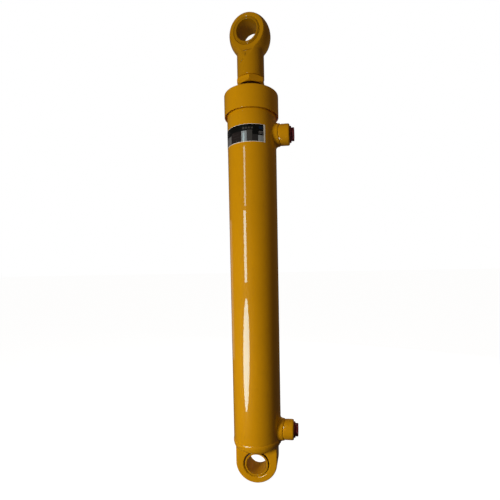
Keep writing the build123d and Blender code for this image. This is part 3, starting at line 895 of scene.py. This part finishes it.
def build():
    """Makes every visible piece."""
    for piece in (barrel_tube(), base_weld(), head_cap()):
        dress(piece, PAINT)
    nut = jam_nut()
    dress(nut, PAINT)
    overspray_and_shade_on(nut, under_nut)
    dress(softened("base_end", "base_end_forging", "barrel", 0.55 * MM), PAINT)
    dress(softened("rod_eye", "rod_eye_forging", "rod", 0.5 * MM), EYE_ENAMEL_PAINTED_SHADE)
    for side in PORT_HEIGHTS:
        dress(port_boss(side), PAINT)
        dress(port_weld(side), PAINT)
        dress(port_plug(side), RED)
    for mark in casting_marks():
        dress(mark, MARK_PAINTED_SHADE)
    bush = eye_bush("base_eye", "barrel", 4.0 * MM)
    dress(bush, BUSH_OVERSPRAY_AND_SHADE)
    overspray_and_shade_on(bush, in_bush_groove)
    dress(eye_bush("rod_eye", "rod", 1.3 * MM), EYE_BUSH_OVERSPRAY_AND_SHADE)
    rod = piston_rod()
    dress(rod, CHROME)
    overspray_and_shade_on(rod, above_chrome)
    data_label()
    hidden = {
        "cap_lock_screw": PAINT, "guide_sleeve": IRON, "sleeve_o_ring": RUBBER, "sleeve_backup_ring": PTFE,
        "rod_guide_bush": BRONZE, "rod_seal": SEAL_BLUE, "wiper_seal": RUBBER, "piston_seal": PTFE,
        "piston_seal_energiser": RUBBER, "lower_wear_ring": PHENOLIC, "upper_wear_ring": PHENOLIC,
        "piston": IRON, "piston_bore_o_ring": RUBBER, "piston_nut": STEEL,
    }
    for node, material in hidden.items():
        slots = NODES[node].data.materials
        for i in range(len(slots)):
            slots[i] = material


# ---------------------------------------------------------------- studio

GLINT = (0.66, 1.0, 1.02)   # cool: added to the amber paint under it, its reflection looks cream white


def round_about(azimuth, distance, height):
    """Place at an azimuth measured from the front towards the ports, in degrees."""
    turn = radians(azimuth)
    return (distance * sin(turn), -distance * cos(turn), height)


def lamp(name, seen_in, azimuth, distance, foot, head, width, radiance, colour=(1, 1, 1),
         shape="RECTANGLE"):
    """Upright lamp round the cylinder, facing its axis, seen in its shading or in its highlights."""
    data = bpy.data.lights.new(name, "AREA")
    data.shape = shape
    data.size = width
    data.size_y = head - foot
    data.energy = radiance * pi * width * (head - foot) * (pi / 4 if shape == "ELLIPSE" else 1)
    data.color = colour
    light = bpy.data.objects.new(name, data)
    light.location = round_about(azimuth, distance, (foot + head) / 2)
    light.rotation_euler = (pi / 2, 0, radians(azimuth))
    SCENE.collection.objects.link(light)
    light.visible_camera = False
    light.visible_glossy = seen_in == "highlights"
    light.visible_diffuse = seen_in == "shading"
    return light


def pale_floor():
    """Pale glowing floor under the cylinder, left out of its shading and reflections."""
    floor_z = cad_box[0][2]
    reach = 60.0
    corners = [(x * reach, y * reach, floor_z) for x, y in ((-1, -1), (1, -1), (1, 1), (-1, 1))]
    mesh = bpy.data.meshes.new("floor")
    mesh.from_pydata(corners, [], [(0, 1, 2, 3)])
    ground = bpy.data.objects.new("floor", mesh)
    SCENE.collection.objects.link(ground)
    s = Shader("pale_floor")
    s.fixed(Roughness=0.9, Base_Color=(0.20, 0.20, 0.20, 1), Specular_IOR_Level=0.0,
            Emission_Color=(1, 1, 1, 1), Emission_Strength=0.95)
    s.material.cycles.emission_sampling = "NONE"    # it lights nothing, so sampling it adds only noise
    ground.data.materials.append(s.done())
    ground.visible_diffuse = False
    ground.visible_glossy = False


def surround():
    """White behind the cylinder, a dim warm light in its shading and a dim grey in its reflections."""
    world = bpy.data.worlds.new("surround")
    SCENE.world = world
    world.use_nodes = True
    tree = world.node_tree
    path = tree.nodes.new("ShaderNodeLightPath")

    def glow(node, colour, strength):
        """Sets a Background node and gives its output."""
        node.inputs["Color"].default_value = (*colour, 1)
        node.inputs["Strength"].default_value = strength
        return node.outputs[0]

    def chosen(ray, special, usual):
        """One glow for one kind of ray, and another for the rest."""
        node = tree.nodes.new("ShaderNodeMixShader")
        tree.links.new(path.outputs[ray], node.inputs["Fac"])
        tree.links.new(usual, node.inputs[1])
        tree.links.new(special, node.inputs[2])
        return node.outputs[0]

    dim = glow(tree.nodes["Background"], (1.0, 0.80, 0.60), 0.034)
    mirrored = glow(tree.nodes.new("ShaderNodeBackground"), (1, 1, 1), 0.03)
    seen = glow(tree.nodes.new("ShaderNodeBackground"), (1, 1, 1), 1.0)
    lit = chosen("Is Camera Ray", seen, chosen("Is Glossy Ray", mirrored, dim))
    tree.links.new(lit, tree.nodes["World Output"].inputs["Surface"])


def sky():
    """Soft warm light from above, left out of the highlights."""
    data = bpy.data.lights.new("sky", "SUN")
    data.energy = 0.5
    data.angle = radians(70)
    data.color = (1.0, 0.90, 0.75)
    light = bpy.data.objects.new("sky", data)
    light.location = (0, 0, 3)
    light.visible_glossy = False
    SCENE.collection.objects.link(light)


def studio():
    """Floor, surround and sky, with lamps that only shade and lit windows that only show in reflections."""
    pale_floor()
    surround()
    sky()
    lamp("key", "shading", -36, 1.5, 0.32, 0.84, 0.35, 25.0)
    lamp("low_key", "shading", -40, 0.70, -0.03, 0.15, 0.25, 12.0)
    lamp("right_fill", "shading", 72, 0.9, 0.62, 1.05, 0.40, 1.3, (1.0, 0.84, 0.60))
    lamp("window_top", "highlights", -27, 0.33, 0.574, 0.745, 0.040, 6.0, GLINT)
    lamp("window_middle", "highlights", -30, 0.33, 0.354, 0.560, 0.064, 9.5, GLINT)
    low_window = lamp("window_low", "highlights", -35.5, 0.33, -0.033, 0.312, 0.170, 10.5, GLINT, "ELLIPSE")
    low_window.rotation_euler.rotate_axis("Z", radians(-13))
    lamp("left_rim", "highlights", -128, 0.9, -0.03, 0.62, 0.40, 0.34)
    lamp("back_left", "shading", -135, 1.2, 0.0, 1.0, 0.5, 2.0)
    lamp("back_right", "shading", 162, 1.3, 0.0, 1.0, 0.6, 4.0)


def camera():
    """Close camera at half height, a little to the ports' side."""
    data = bpy.data.cameras.new("camera")
    data.sensor_width = 36.0
    data.lens = 25.17
    data.shift_x = -0.0315
    data.shift_y = 0.07
    view = bpy.data.objects.new("camera", data)
    view.location = (0.10647, -0.68980, 0.38398)
    view.rotation_euler = (radians(87.533), radians(1.0118), radians(6.932))
    SCENE.collection.objects.link(view)
    SCENE.camera = view


build()
studio()
camera()
SCENE.view_settings.view_transform = "Standard"
